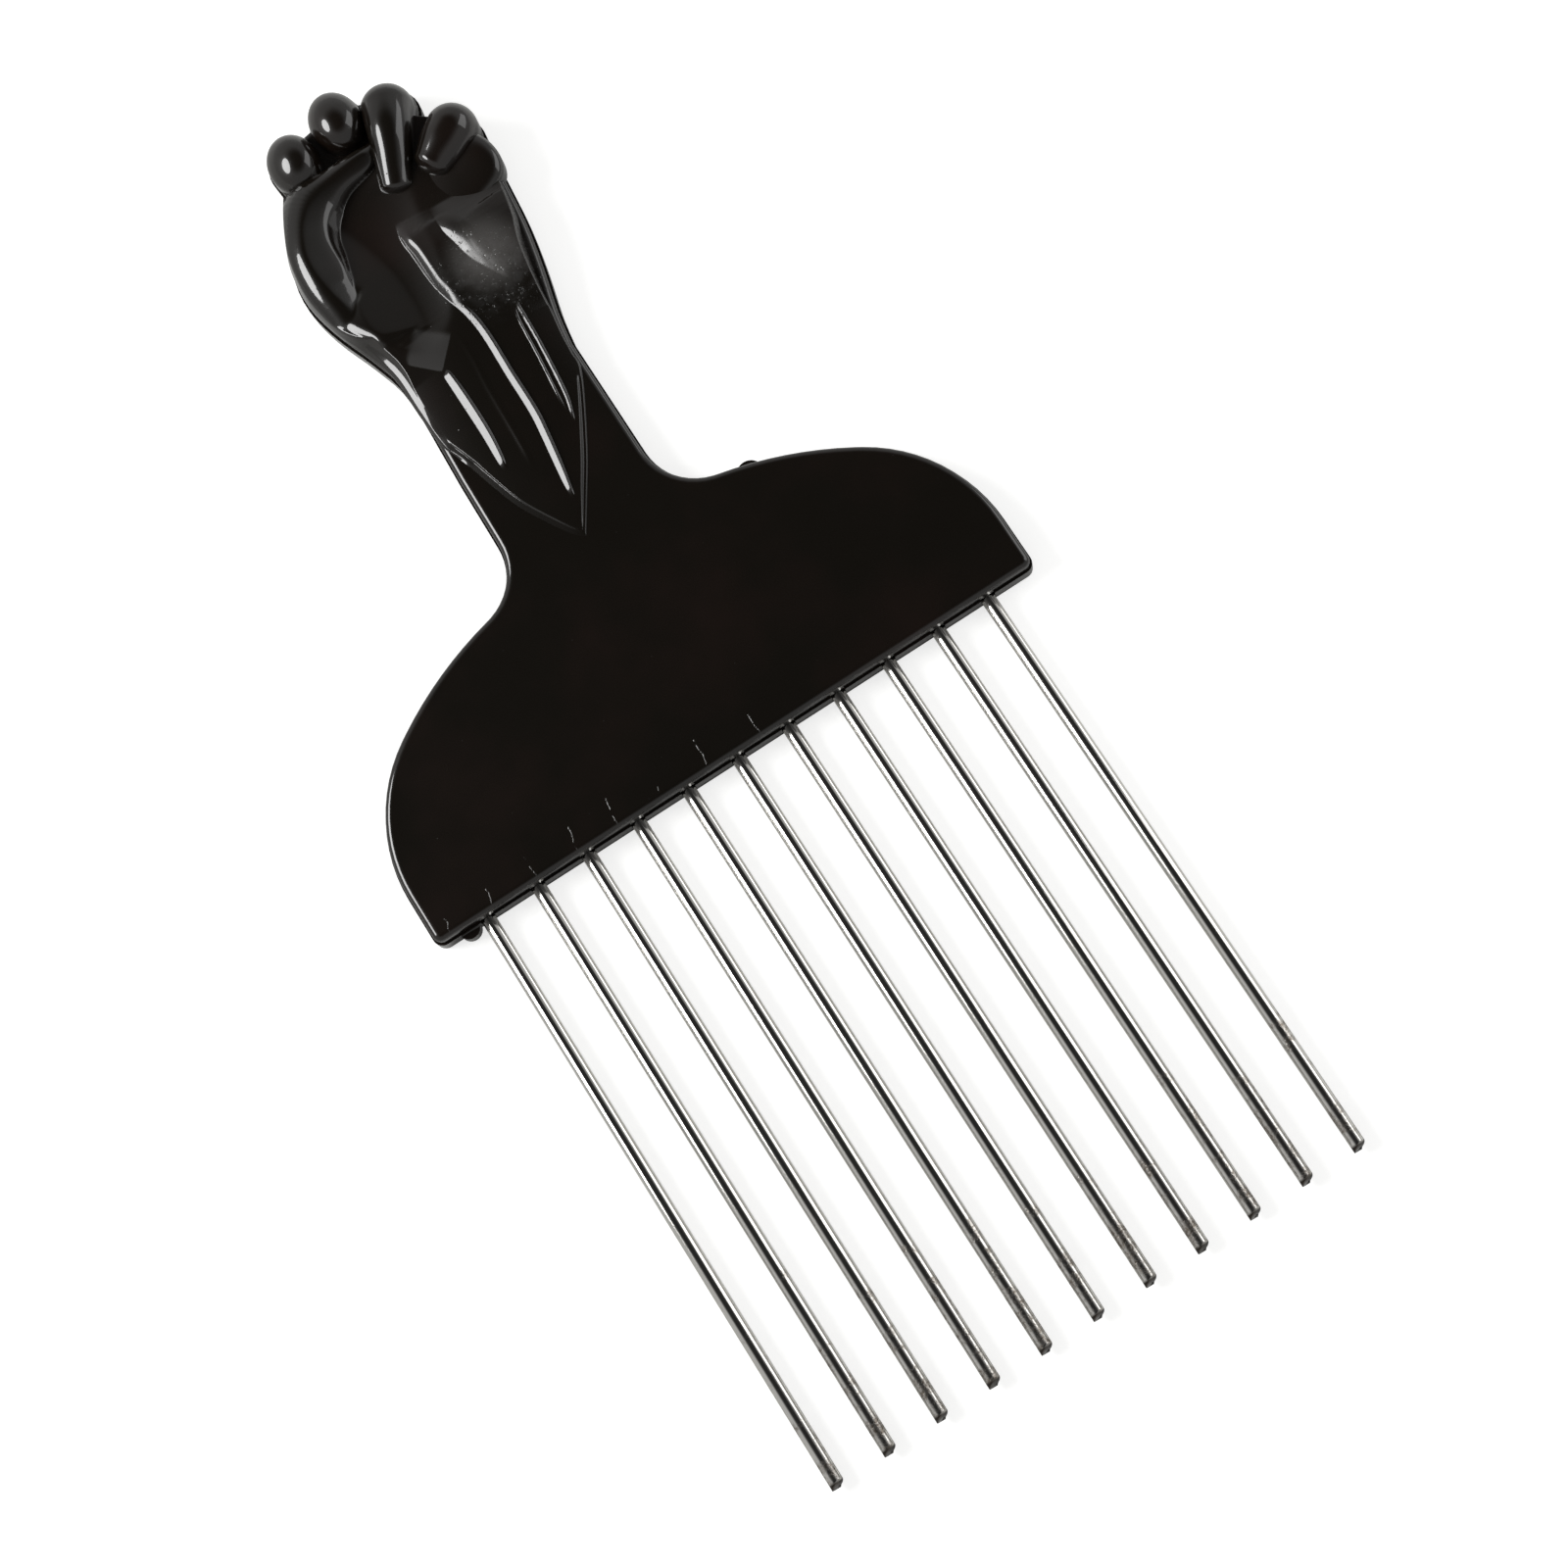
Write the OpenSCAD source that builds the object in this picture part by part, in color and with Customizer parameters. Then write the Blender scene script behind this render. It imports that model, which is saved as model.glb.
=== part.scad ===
// Afro pick with a raised fist. Two moulded halves trap the flattened roots of eleven round steel pins.
// It lies on its back: +Z out of the face, +Y from the pins towards the fist, X across the pins.

/* [Plate] */
// Width across the plate
plate_w = 83.6; // [81:0.2:88]
// Height of the crown above the pin edge
plate_h = 32.1; // [30.5:0.1:34]
// Straight part of each side above the pin edge
side_h = 7; // [6:0.1:8]
// Radius of the shoulders
shoulder_r = 20.2; // [18:0.1:21]
// Radius of the long crown curve
crown_r = 50; // [48:0.5:54]
// Radius of the two corners at the pin edge
corner_r = 1.3; // [1.2:0.1:2]
// Radius of the fillets where the crown meets the neck
fillet_r = 7.5; // [6:0.1:9]
// Width of the neck
neck_w = 21.2; // [19.6:0.1:22.4]

/* [Halves] */
// Thickness of the rear half
rear_t = 2.4; // [2.2:0.1:3]
// Thickness of the front half over the plate
front_t = 1.8; // [1.6:0.1:2.4]
// Width of the ledge where the front half stands back from the rear half
ledge = 0.25; // [0.1:0.05:0.35]
// Rounding of the edge of the front face
front_round = 0.7; // [0.4:0.05:0.8]

/* [Fist] */
// Breadth of the fist, which sets the plan of the whole hand
fist_w = 30; // [28:0.1:32]
// Height of the tallest knuckle above the rear half
relief_h = 7; // [6:0.1:8]
// Width of the sloping edge round the forearm and palm
flank_w = 0.9; // [0.6:0.05:1.2]
// Band left between the relief and the edge of the handle
margin_w = 0.55; // [0.4:0.05:0.8]
// Radius of the tendons on the forearm
tendon_r = 0.8; // [0.6:0.05:1]

/* [Pins] */
// Spacing of the pins
pin_pitch = 7; // [6:0.1:7.2]
// Diameter of each pin
pin_d = 1.8; // [1.6:0.05:1.9]
// Length of each pin outside the plate
pin_reach = 77.3; // [60:0.1:90]
// Length of each pin inside the plate
pin_hold = 14; // [10:0.1:15]
// Length of the flattened root
root_l = 3; // [2:0.1:4]
// Width of the flattened root
root_w = 2.6; // [2.4:0.1:3.2]
// Thickness of the flattened root
root_t = 1.1; // [0.8:0.05:1.2]
// Rounding of the tip
tip_round = 0.6; // [0.3:0.05:0.7]
// Clearance round each pin in its channel
pin_fit = 0.05; // [0.03:0.01:0.1]

/* [Locating pegs] */
// Diameter of each peg under the front half
peg_d = 2.6; // [2:0.1:3]
// Height of each peg
peg_h = 1.1; // [0.8:0.1:1.2]
// Clearance round and below each peg in its socket
peg_fit = 0.1; // [0.05:0.01:0.2]

/* [Moulding marks] */
// Width of the runner stub on the shoulder
stub_w = 2.8; // [2:0.1:3.5]
// How far the runner stub stands out of the shoulder
stub_out = 0.7; // [0.4:0.1:1]
// Width of the gate bead on the pin edge
bead_w = 2.6; // [2:0.1:3]
// How far the gate bead stands out of the pin edge
bead_out = 1; // [0.6:0.1:1.2]

/* [Hidden] */
pin_count = 11;
cut = 1;        // how far a cutting shape runs past a face
thin = 0.2;     // thickness of the discs that the back of the forearm is stretched between
ball_fn = 24;
pin_fn = 48;
plastic = "#2a2624";
steel = "#b9babb";

half_w = plate_w / 2;
face_z = rear_t + front_t;
pin_r = pin_d / 2;
pin_z = rear_t - pin_fit - pin_r;

// The hand is drawn in shares of fist_w, X from the middle pin and Y from the top of the crown.
// Edge of the hand up its right side and down its left side.
right_share = [[0.353, 0.75], [0.377, 0.9], [0.427, 1.1], [0.467, 1.3], [0.49, 1.5], [0.51, 1.7]];
left_share = [[-0.32, 1.97], [-0.35, 1.9], [-0.41, 1.8], [-0.453, 1.7], [-0.478, 1.6], [-0.483, 1.5],
    [-0.467, 1.4], [-0.438, 1.3], [-0.4, 1.2], [-0.366, 1.1], [-0.34, 1], [-0.332, 0.85],
    [-0.338, 0.7], [-0.347, 0.5]];
// The forearm's point, up its right side and down its left side.
point_right_share = [[-0.03, 0.02], [0.065, 0.165], [0.17, 0.333], [0.312, 0.605], [0.322, 0.71]];
point_left_share = [[-0.318, 0.67], [-0.29, 0.575], [-0.243, 0.405], [-0.2, 0.277],
    [-0.135, 0.15], [-0.073, 0.047]];
// Each ball is X, Y, radius as shares of fist_w, its top as a share of relief_h, and how flat it is.
index_share = [[0.388, 1.77, 0.128, 0.95], [0.36, 1.71, 0.125, 0.93]];
middle_share = [[0.243, 2.033, 0.11, 0.96], [0.187, 1.87, 0.088, 1], [0.117, 1.725, 0.07, 0.8]];
ring_share = [[0.029, 2.133, 0.113, 0.87], [0.023, 2.06, 0.103, 0.77]];
little_share = [[-0.207, 2.073, 0.113, 0.8], [-0.203, 2.02, 0.103, 0.7]];
index_tip_share = [[0.36, 1.7, 0.113, 0.8], [0.317, 1.607, 0.127, 0.74, 0.8]];
heel_share = [[0.027, 1.887, 0.043, 0.6], [-0.107, 1.873, 0.047, 0.64], [-0.213, 1.84, 0.063, 0.7],
    [-0.303, 1.76, 0.097, 0.77], [-0.35, 1.647, 0.117, 0.83], [-0.36, 1.52, 0.113, 0.8],
    [-0.347, 1.387, 0.097, 0.69], [-0.317, 1.25, 0.07, 0.59], [-0.28, 1.15, 0.04, 0.52]];
web_share = [[-0.22, 1.977, 0.08, 0.54], [0.02, 2.01, 0.087, 0.57], [0.173, 1.95, 0.08, 0.6]];
thumb_share = [[0.083, 1.457, 0.077, 0.59, 0.6], [0.107, 1.29, 0.093, 0.66, 0.5],
    [0.147, 1.137, 0.113, 0.64, 0.4], [0.167, 1, 0.107, 0.57, 0.3], [0.157, 0.9, 0.08, 0.52, 0.3]];
side_share = [[0.313, 1.46, 0.15, 0.7, 0.6], [0.313, 1.33, 0.14, 0.75, 0.6],
    [0.31, 1.19, 0.1, 0.71, 0.7], [0.317, 1.06, 0.053, 0.6]];
pad_share = [[-0.153, 1.09, 0.1, 0.62, 0.35], [-0.157, 1, 0.08, 0.6, 0.35]];
// Hollow of the palm, with the depth of its floor in place of the top.
hollow_share = [[-0.12, 1.683, 0.18, 0.3], [0.02, 1.64, 0.15, 0.29], [-0.16, 1.513, 0.14, 0.32],
    [-0.167, 1.413, 0.1, 0.4]];
// Tendons: X and Y, then the top.
tendon_shares = [
    [[-0.307, 1.043, 0.36], [-0.295, 0.937, 0.44], [-0.295, 0.797, 0.43], [-0.287, 0.643, 0.38]],
    [[-0.153, 0.91, 0.58], [-0.147, 0.763, 0.56], [-0.148, 0.597, 0.52], [-0.158, 0.457, 0.46]],
    [[0.017, 1.23, 0.63], [0.04, 1.13, 0.65], [0.065, 0.98, 0.64], [0.067, 0.797, 0.6],
        [0.062, 0.597, 0.56], [0.05, 0.457, 0.5], [0.028, 0.313, 0.42], [0.013, 0.203, 0.36]],
    [[0.237, 0.977, 0.55], [0.22, 0.813, 0.53], [0.193, 0.597, 0.5], [0.177, 0.477, 0.45]]];
// Crest of the forearm and palm: Y, then height.
crest_shares = [[-0.03, 0.27], [0.2, 0.37], [0.46, 0.46], [0.8, 0.54], [1.13, 0.6], [1.36, 0.56],
    [1.6, 0.49], [2.2, 0.46]];
crest_r_share = 1.1;
// Where each knuckle's outer arc starts and ends, in degrees.
knuckle_arcs = [[-12, 96], [-42, 118], [10, 164], [46, 192]];

// Pegs: X as a share of half_w, Y as a share of plate_h, then the two in the handle on its middle.
plate_peg_shares = [[-0.62, 0.6], [-0.2, 0.74], [0.2, 0.74], [0.62, 0.6]];
handle_peg_shares = [0.45, 1.45];
shoulder_room_share = 0.9;    // how much of the height above the straight sides a shoulder can round
stub_share = 0.48;    // place of the runner stub along half_w
bead_share = -0.897;  // place of the gate bead along half_w
mark_low_share = 0.2;    // start of both marks as a share of rear_t
mark_high_share = 0.65;  // their height as a share of rear_t

function hand_xy(s) = [s[0] * fist_w, plate_h + s[1] * fist_w];
function hand_z(s) = rear_t + s * relief_h;
function arc(c, r, a0, a1, n) = [for (i = [0:n]) let (a = a0 + (a1 - a0) * i / n) c + r * [cos(a), sin(a)]];
function unit(v) = v / norm(v);
function left(v) = [-v[1], v[0]];
function mirrored(p) = [for (i = [len(p) - 1:-1:0]) [-p[i][0], p[i][1]]];

// A smooth curve through the points p, with n steps between two of them.
function curve_at(a, b, c, d, t) =
    (2 * b + (c - a) * t + (2 * a - 5 * b + 4 * c - d) * t * t + (3 * b - a - 3 * c + d) * t * t * t) / 2;
function curve(p, n) = let (m = len(p) - 1) [for (i = [0:m - 1], k = [0:n - 1])
    curve_at(p[max(i - 1, 0)], p[i], p[i + 1], p[min(i + 2, m)], k / n), p[m]];

// The closed outline p, counter-clockwise, drawn in by d.
function inset(p, d) = let (n = len(p)) [for (i = [0:n - 1])
    let (a = left(unit(p[i] - p[(i + n - 1) % n])), b = left(unit(p[(i + 1) % n] - p[i])))
    p[i] + d * (a + b) / max(1 + a * b, 0.5)];

// Plate edge: corner, straight side, shoulder, crown and neck fillet, all tangent.
crown_y = plate_h - crown_r;
shoulder = min(shoulder_r, shoulder_room_share * (plate_h - side_h));
shoulder_x = half_w - shoulder;
crown_x = shoulder_x - sqrt(pow(crown_r - shoulder, 2) - pow(side_h - crown_y, 2));
fillet_x = neck_w / 2 + fillet_r;
fillet_y = crown_y + sqrt(pow(crown_r + fillet_r, 2) - pow(fillet_x - crown_x, 2));
shoulder_a = atan2(side_h - crown_y, shoulder_x - crown_x);
crown_a = atan2(fillet_y - crown_y, fillet_x - crown_x);
plate_right = concat(
    arc([half_w - corner_r, corner_r], corner_r, -90, 0, 6),
    arc([shoulder_x, side_h], shoulder, 0, shoulder_a, 12),
    arc([crown_x, crown_y], crown_r, shoulder_a + 1, crown_a, 8),
    arc([fillet_x, fillet_y], fillet_r, crown_a + 176, 180, 10));

knuckles = [for (k = [index_share, middle_share, ring_share, little_share]) k[0]];
hand_edge = concat(
    curve([for (s = right_share) hand_xy(s)], 3),
    [for (i = [0:3]) each arc(hand_xy(knuckles[i]), knuckles[i][2] * fist_w + ledge,
        knuckle_arcs[i][0], knuckle_arcs[i][1], 12)],
    curve([for (s = left_share) hand_xy(s)], 2));
rear_edge = concat(plate_right, hand_edge, mirrored(plate_right));
hand_top = max([for (p = hand_edge) p[1]]);
shift_y = (pin_reach - hand_top) / 2;

// Edge of the forearm and palm: the handle's edge drawn in, closed by the forearm's point.
relief_edge = concat([for (s = point_right_share) hand_xy(s)],
    [for (p = inset(rear_edge, ledge + margin_w)) if (p[1] > hand_xy(point_left_share[0])[1]) p],
    [for (s = point_left_share) hand_xy(s)]);

function pin_x(i) = (i - (pin_count - 1) / 2) * pin_pitch;
peg_xy = concat([for (s = plate_peg_shares) [s[0] * half_w, s[1] * plate_h]],
    [for (s = handle_peg_shares) hand_xy([0, s])]);

// The levels, each a height and how far it is drawn in, of an edge rounded by r under the height z.
function rounded(z, r, back) = [for (a = [0:30:90]) [z - r * (1 - sin(a)), back + r * (1 - cos(a))]];

// A solid with the outline p drawn in by a different amount at each level.
module stack(p, levels) {
    n = len(p);
    top = len(levels) - 1;
    polyhedron([for (l = levels) each [for (q = inset(p, l[1])) [q[0], q[1], l[0]]]],
        concat([[for (i = [0:n - 1]) i]], [[for (i = [n - 1:-1:0]) top * n + i]],
            [for (k = [0:top - 1], i = [0:n - 1]) each let (a = k * n + i, b = k * n + (i + 1) % n)
                [[a, a + n, b + n], [a, b + n, b]]]));
}

// One ball of a finger, with straight walls down to the rear half as a mould would leave it.
module bump(s) {
    r = s[2] * fist_w;
    flat = len(s) > 4 ? s[4] : 1;
    z = hand_z(s[3]) - r * flat;
    translate(hand_xy(s)) {
        translate([0, 0, z]) scale([1, 1, flat]) sphere(r, $fn = ball_fn);
        if (z > rear_t) translate([0, 0, rear_t]) cylinder(h = z - rear_t, r = r, $fn = ball_fn);
    }
}

module chain(shares) {
    if (len(shares) == 1) bump(shares[0]);
    else for (i = [0:len(shares) - 2]) hull() {
        bump(shares[i]);
        bump(shares[i + 1]);
    }
}

module tendon(shares) {
    for (i = [0:len(shares) - 2]) hull() for (s = [shares[i], shares[i + 1]])
        translate([each hand_xy(s), hand_z(s[2]) - tendon_r]) sphere(tendon_r, $fn = ball_fn / 2);
}

// Forearm and palm: a rounded back cut to the relief's edge, with the hollow of the palm sunk in it.
module palm() {
    crest_r = crest_r_share * fist_w;
    difference() {
        intersection() {
            stack(relief_edge, [[rear_t, 0], [face_z, 0], [face_z + flank_w, flank_w],
                [rear_t + relief_h, flank_w]]);
            for (i = [0:len(crest_shares) - 2]) hull() for (s = [crest_shares[i], crest_shares[i + 1]])
                translate([0, hand_xy([0, s[0]])[1], hand_z(s[1]) - crest_r]) rotate([90, 0, 0])
                    cylinder(h = thin, r = crest_r, $fn = 6 * ball_fn);
        }
        hull() for (s = hollow_share) translate([each hand_xy(s), hand_z(s[3]) + s[2] * fist_w])
            sphere(s[2] * fist_w, $fn = ball_fn);
    }
}

module front_half() color(plastic) translate([0, shift_y, 0]) {
    stack(rear_edge, concat([[rear_t, ledge]], rounded(face_z, front_round, ledge)));
    intersection() {
        union() {
            palm();
            for (s = tendon_shares) tendon(s);
            for (s = [index_share, middle_share, ring_share, little_share, index_tip_share,
                heel_share, web_share, thumb_share, side_share, pad_share]) chain(s);
        }
        stack(rear_edge, [[rear_t, ledge], [rear_t + 2 * relief_h, ledge]]);
    }
    for (p = peg_xy) translate([each p, rear_t - peg_h])
        cylinder(h = peg_h + front_t / 2, r = peg_d / 2, $fn = pin_fn);
}

// Radius of a round bead that is w wide and stands out by d.
function bead_r(w, d) = (w * w / 4 + d * d) / (2 * d);

module rear_half() color(plastic) translate([0, shift_y, 0]) difference() {
    union() {
        linear_extrude(rear_t) polygon(rear_edge);
        stub_x = stub_share * half_w;
        stub_a = acos((stub_x - crown_x) / crown_r);
        translate([crown_x, crown_y, mark_low_share * rear_t]) rotate(stub_a)
            translate([crown_r + stub_out - bead_r(stub_w, stub_out), 0, 0])
            cylinder(h = mark_high_share * rear_t, r = bead_r(stub_w, stub_out), $fn = pin_fn);
        translate([bead_share * half_w, bead_r(bead_w, bead_out) - bead_out, mark_low_share * rear_t])
            cylinder(h = mark_high_share * rear_t, r = bead_r(bead_w, bead_out), $fn = pin_fn);
    }
    for (i = [0:pin_count - 1]) translate([pin_x(i), 0, 0]) channel();
    for (p = peg_xy) translate([each p, rear_t - peg_h - peg_fit])
        cylinder(h = peg_h + peg_fit + cut, r = peg_d / 2 + peg_fit, $fn = pin_fn);
}

// Channel for one pin, open at the parting face, with a wider pocket for the flattened root.
module channel() {
    r = pin_r + pin_fit;
    translate([0, -cut, pin_z]) rotate([-90, 0, 0]) cylinder(h = cut + pin_hold, r = r, $fn = pin_fn);
    translate([-r, -cut, pin_z]) cube([2 * r, cut + pin_hold, cut + pin_r]);
    translate([-root_w / 2 - pin_fit, pin_hold - root_l - pin_fit, pin_z - root_t / 2 - pin_fit])
        cube([root_w + 2 * pin_fit, root_l + 2 * pin_fit, cut + pin_r + root_t]);
}

module pin(i) color(steel) translate([pin_x(i), shift_y, pin_z]) {
    rotate([90, 0, 0]) translate([0, 0, root_l - pin_hold])
        cylinder(h = pin_hold - root_l + pin_reach - tip_round, r = pin_r, $fn = pin_fn);
    translate([0, tip_round - pin_reach, 0]) rotate([90, 0, 0]) rotate_extrude($fn = pin_fn) {
        square([pin_r - tip_round, tip_round]);
        intersection() {
            translate([pin_r - tip_round, 0]) circle(tip_round, $fn = pin_fn);
            square([pin_r, tip_round]);
        }
    }
    translate([-root_w / 2, pin_hold - root_l, -root_t / 2]) cube([root_w, root_l, root_t]);
}

module pin_01() pin(0);
module pin_02() pin(1);
module pin_03() pin(2);
module pin_04() pin(3);
module pin_05() pin(4);
module pin_06() pin(5);
module pin_07() pin(6);
module pin_08() pin(7);
module pin_09() pin(8);
module pin_10() pin(9);
module pin_11() pin(10);

front_half();
rear_half();
pin_01();
pin_02();
pin_03();
pin_04();
pin_05();
pin_06();
pin_07();
pin_08();
pin_09();
pin_10();
pin_11();
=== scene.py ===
import math

import bpy
import numpy as np
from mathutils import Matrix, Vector


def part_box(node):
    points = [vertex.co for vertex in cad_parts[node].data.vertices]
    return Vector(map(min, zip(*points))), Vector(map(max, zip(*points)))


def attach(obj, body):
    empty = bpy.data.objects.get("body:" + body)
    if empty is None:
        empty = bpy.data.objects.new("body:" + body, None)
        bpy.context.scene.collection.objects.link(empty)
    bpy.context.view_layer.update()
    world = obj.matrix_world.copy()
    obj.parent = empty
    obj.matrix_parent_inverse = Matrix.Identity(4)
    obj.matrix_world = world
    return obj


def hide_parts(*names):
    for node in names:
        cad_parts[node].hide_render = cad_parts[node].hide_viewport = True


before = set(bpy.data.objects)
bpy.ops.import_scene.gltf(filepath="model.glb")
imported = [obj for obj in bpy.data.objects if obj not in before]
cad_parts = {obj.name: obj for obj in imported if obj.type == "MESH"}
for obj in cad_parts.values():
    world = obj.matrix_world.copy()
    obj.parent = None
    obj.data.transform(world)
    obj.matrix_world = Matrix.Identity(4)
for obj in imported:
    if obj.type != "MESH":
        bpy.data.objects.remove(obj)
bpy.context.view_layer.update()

mm = 0.001
ledge = 0.25 * mm    # how far the front half stands back from the rear half
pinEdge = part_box("front_half")[0][1] - ledge    # the lists below count Y in mm from this edge
hair = 0.01 * mm    # places that differ by less are the same
weld = 0.002 * mm    # and CAD points this near are one point
squareOn = 0.9    # a face whose normal goes this far along an axis faces that way
print("frame loaded, pin edge at", round(pinEdge / mm, 3), "mm")


# small helpers

def toLinear(hexColour):
    parts = [int(hexColour[i:i + 2], 16) / 255 for i in (1, 3, 5)]
    return [p / 12.92 if p <= 0.04045 else ((p + 0.055) / 1.055) ** 2.4 for p in parts] + [1]


def addNode(tree, kind, settings={}, links={}):
    # a setting is an input's number or name, or else one of the node's own choices
    node = tree.nodes.new("ShaderNode" + kind)
    for name, value in settings.items():
        if isinstance(name, int) or name in node.inputs:
            node.inputs[name].default_value = value
        else:
            setattr(node, name, value)
    for name, source in links.items():
        tree.links.new(source, node.inputs[name])
    return node


# settings for Map Range: soft steps up to 1 and down to 0, the range that comes in and the one that goes out

rising = {"interpolation_type": "SMOOTHSTEP"}
falling = {"interpolation_type": "SMOOTHSTEP", "To Min": 1, "To Max": 0}


def comesIn(span):
    return {"From Min": span[0], "From Max": span[1]}


def goesOut(span):
    return {"To Min": span[0], "To Max": span[1]}


def emptyMaterial(name):
    material = bpy.data.materials.new(name)
    material.use_nodes = True
    material.node_tree.nodes.clear()
    return material, material.node_tree


def placeInMm(tree):
    # the piece's own place in mm, Y counted from the pin edge
    place = addNode(tree, "TexCoord")
    inMm = addNode(tree, "Mapping", {"Location": (0, -pinEdge / mm, 0), "Scale": (1 / mm,) * 3},
                   {"Vector": place.outputs["Object"]})
    return inMm.outputs[0]


def pickOnly(piece):
    if bpy.context.mode != "OBJECT":
        bpy.ops.object.mode_set(mode="OBJECT")
    bpy.ops.object.select_all(action="DESELECT")
    piece.hide_set(False)
    piece.select_set(True)
    bpy.context.view_layer.objects.active = piece


def applyAll(piece):
    pickOnly(piece)
    bpy.ops.object.transform_apply(location=True, rotation=True, scale=True)


def copyOf(node, name):
    # a copy of a CAD node with its doubled points merged; the node itself is left alone
    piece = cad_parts[node].copy()
    piece.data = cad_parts[node].data.copy()
    piece.name = piece.data.name = name
    bpy.context.scene.collection.objects.link(piece)
    piece.hide_viewport = piece.hide_render = False
    piece.data.materials.clear()
    pickOnly(piece)
    bpy.ops.object.mode_set(mode="EDIT")
    bpy.ops.mesh.select_all(action="SELECT")
    bpy.ops.mesh.remove_doubles(threshold=weld)
    bpy.ops.object.mode_set(mode="OBJECT")
    return piece


def selectWhere(piece, kind, test):
    # kind is edges or faces; test gets an edge's two ends, or a face's middle and normal
    pickOnly(piece)
    bpy.ops.object.mode_set(mode="EDIT")
    bpy.ops.mesh.select_mode(type={"edges": "EDGE", "faces": "FACE"}[kind])
    bpy.ops.mesh.select_all(action="DESELECT")
    bpy.ops.object.mode_set(mode="OBJECT")
    mesh = piece.data
    if kind == "edges":
        for e in mesh.edges:
            e.select = test(mesh.vertices[e.vertices[0]].co, mesh.vertices[e.vertices[1]].co)
    else:
        for f in mesh.polygons:
            f.select = test(f.center, f.normal)
    bpy.ops.object.mode_set(mode="EDIT")


def facesOut():
    # in edit mode: turns all faces outwards, then leaves edit mode
    bpy.ops.mesh.select_all(action="SELECT")
    bpy.ops.mesh.normals_make_consistent(inside=False)
    bpy.ops.object.mode_set(mode="OBJECT")


def finishPiece(piece, material, nodes, smoothAngle):
    pickOnly(piece)
    bpy.ops.object.shade_smooth_by_angle(angle=math.radians(smoothAngle))
    piece.data.materials.clear()
    piece.data.materials.append(material)
    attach(piece, "root")
    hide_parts(*nodes)


# camera: from over the pins, leaning towards them

cameraValues = {
    "place": (-5.35, -109.26, 382.23), "turn": (12.186, 6.354, -32.184),
    "lens": 76.5, "sensor": 36, "nearest": 0.01, "farthest": 20,
}

camera = bpy.data.objects.new("camera", bpy.data.cameras.new("camera"))
bpy.context.scene.collection.objects.link(camera)
camera.location = Vector(cameraValues["place"]) * mm
camera.rotation_euler = [math.radians(a) for a in cameraValues["turn"]]
camera.data.lens = cameraValues["lens"]
camera.data.sensor_width = cameraValues["sensor"]
camera.data.clip_start = cameraValues["nearest"]
camera.data.clip_end = cameraValues["farthest"]
bpy.context.scene.camera = camera
print("camera placed")


# lights: a softbox high on the left, a long low screen on the right, dim walls and a dark ceiling

lightValues = {
    "key": {"place": (-350, 205, 305), "facing": (350, -155, -300),
            "size": (350, 215), "shape": "ELLIPSE", "power": 2.3},
    "sideScreen": {"place": (585, 138, 238), "facing": (-0.35, 0.45, -0.82),
                   "size": (780, 260), "shape": "RECTANGLE", "power": 1.18},
    "darkWay": (0.0, 0.10, 0.99), "darkFrom": 20, "darkTo": 55,    # the ceiling's dark patch, degrees
    "darkLevel": 0.02, "wallLevel": 0.5,    # what glossy surfaces mirror
    "softLevel": 0.42,    # what lights matt surfaces
}


def softbox(name, place, facing, size, shape, power):
    lamp = bpy.data.lights.new(name, "AREA")
    lamp.shape = shape
    lamp.size, lamp.size_y = size[0] * mm, size[1] * mm
    lamp.energy = power
    box = bpy.data.objects.new(name, lamp)
    bpy.context.scene.collection.objects.link(box)
    box.location = Vector(place) * mm
    box.rotation_euler = Vector(facing).to_track_quat("-Z", "Y").to_euler()
    box.visible_camera = False


softbox("keySoftbox", **lightValues["key"])
softbox("sideScreen", **lightValues["sideScreen"])


def makeStudio(v):
    # white to the camera, walls and ceiling to glossy rays, one soft level to the rest
    world = bpy.data.worlds.new("studio")
    bpy.context.scene.world = world
    world.use_nodes = True
    tree = world.node_tree
    tree.nodes.clear()
    way = addNode(tree, "TexCoord")
    darkWay = Vector(v["darkWay"]).normalized()
    facing = addNode(tree, "VectorMath", {"operation": "DOT_PRODUCT", 1: darkWay},
                     {0: way.outputs["Generated"]})
    patchEdge = [math.cos(math.radians(v[name])) for name in ("darkTo", "darkFrom")]
    levels = goesOut((v["wallLevel"], v["darkLevel"]))
    ceiling = addNode(tree, "MapRange", {**rising, **comesIn(patchEdge), **levels},
                      {"Value": facing.outputs["Value"]})
    ray = addNode(tree, "LightPath")
    shown = addNode(tree, "Math", {"operation": "MAXIMUM"},
                    {0: ceiling.outputs[0], 1: ray.outputs["Is Camera Ray"]})
    sharpRay = addNode(tree, "Math", {"operation": "MAXIMUM"},
                       {0: ray.outputs["Is Camera Ray"], 1: ray.outputs["Is Glossy Ray"]})
    clearRay = addNode(tree, "Math", {"operation": "MAXIMUM"},
                       {0: sharpRay.outputs[0], 1: ray.outputs["Is Transmission Ray"]})
    seen = addNode(tree, "Background", {"Color": (1, 1, 1, 1)}, {"Strength": shown.outputs[0]})
    soft = addNode(tree, "Background", {"Color": (1, 1, 1, 1), "Strength": v["softLevel"]})
    mixed = addNode(tree, "MixShader", {}, {0: clearRay.outputs[0], 1: soft.outputs[0], 2: seen.outputs[0]})
    addNode(tree, "OutputWorld", {}, {"Surface": mixed.outputs[0]})


makeStudio(lightValues)
bpy.context.scene.view_settings.view_transform = "Standard"
print("lights placed")


# floor: matt white paper that keeps a soft shadow

floorValues = {"size": 4, "drop": 0.02, "paper": "#d2d2d0", "glow": 0.68, "mirrorGlow": 0.05}


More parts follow.
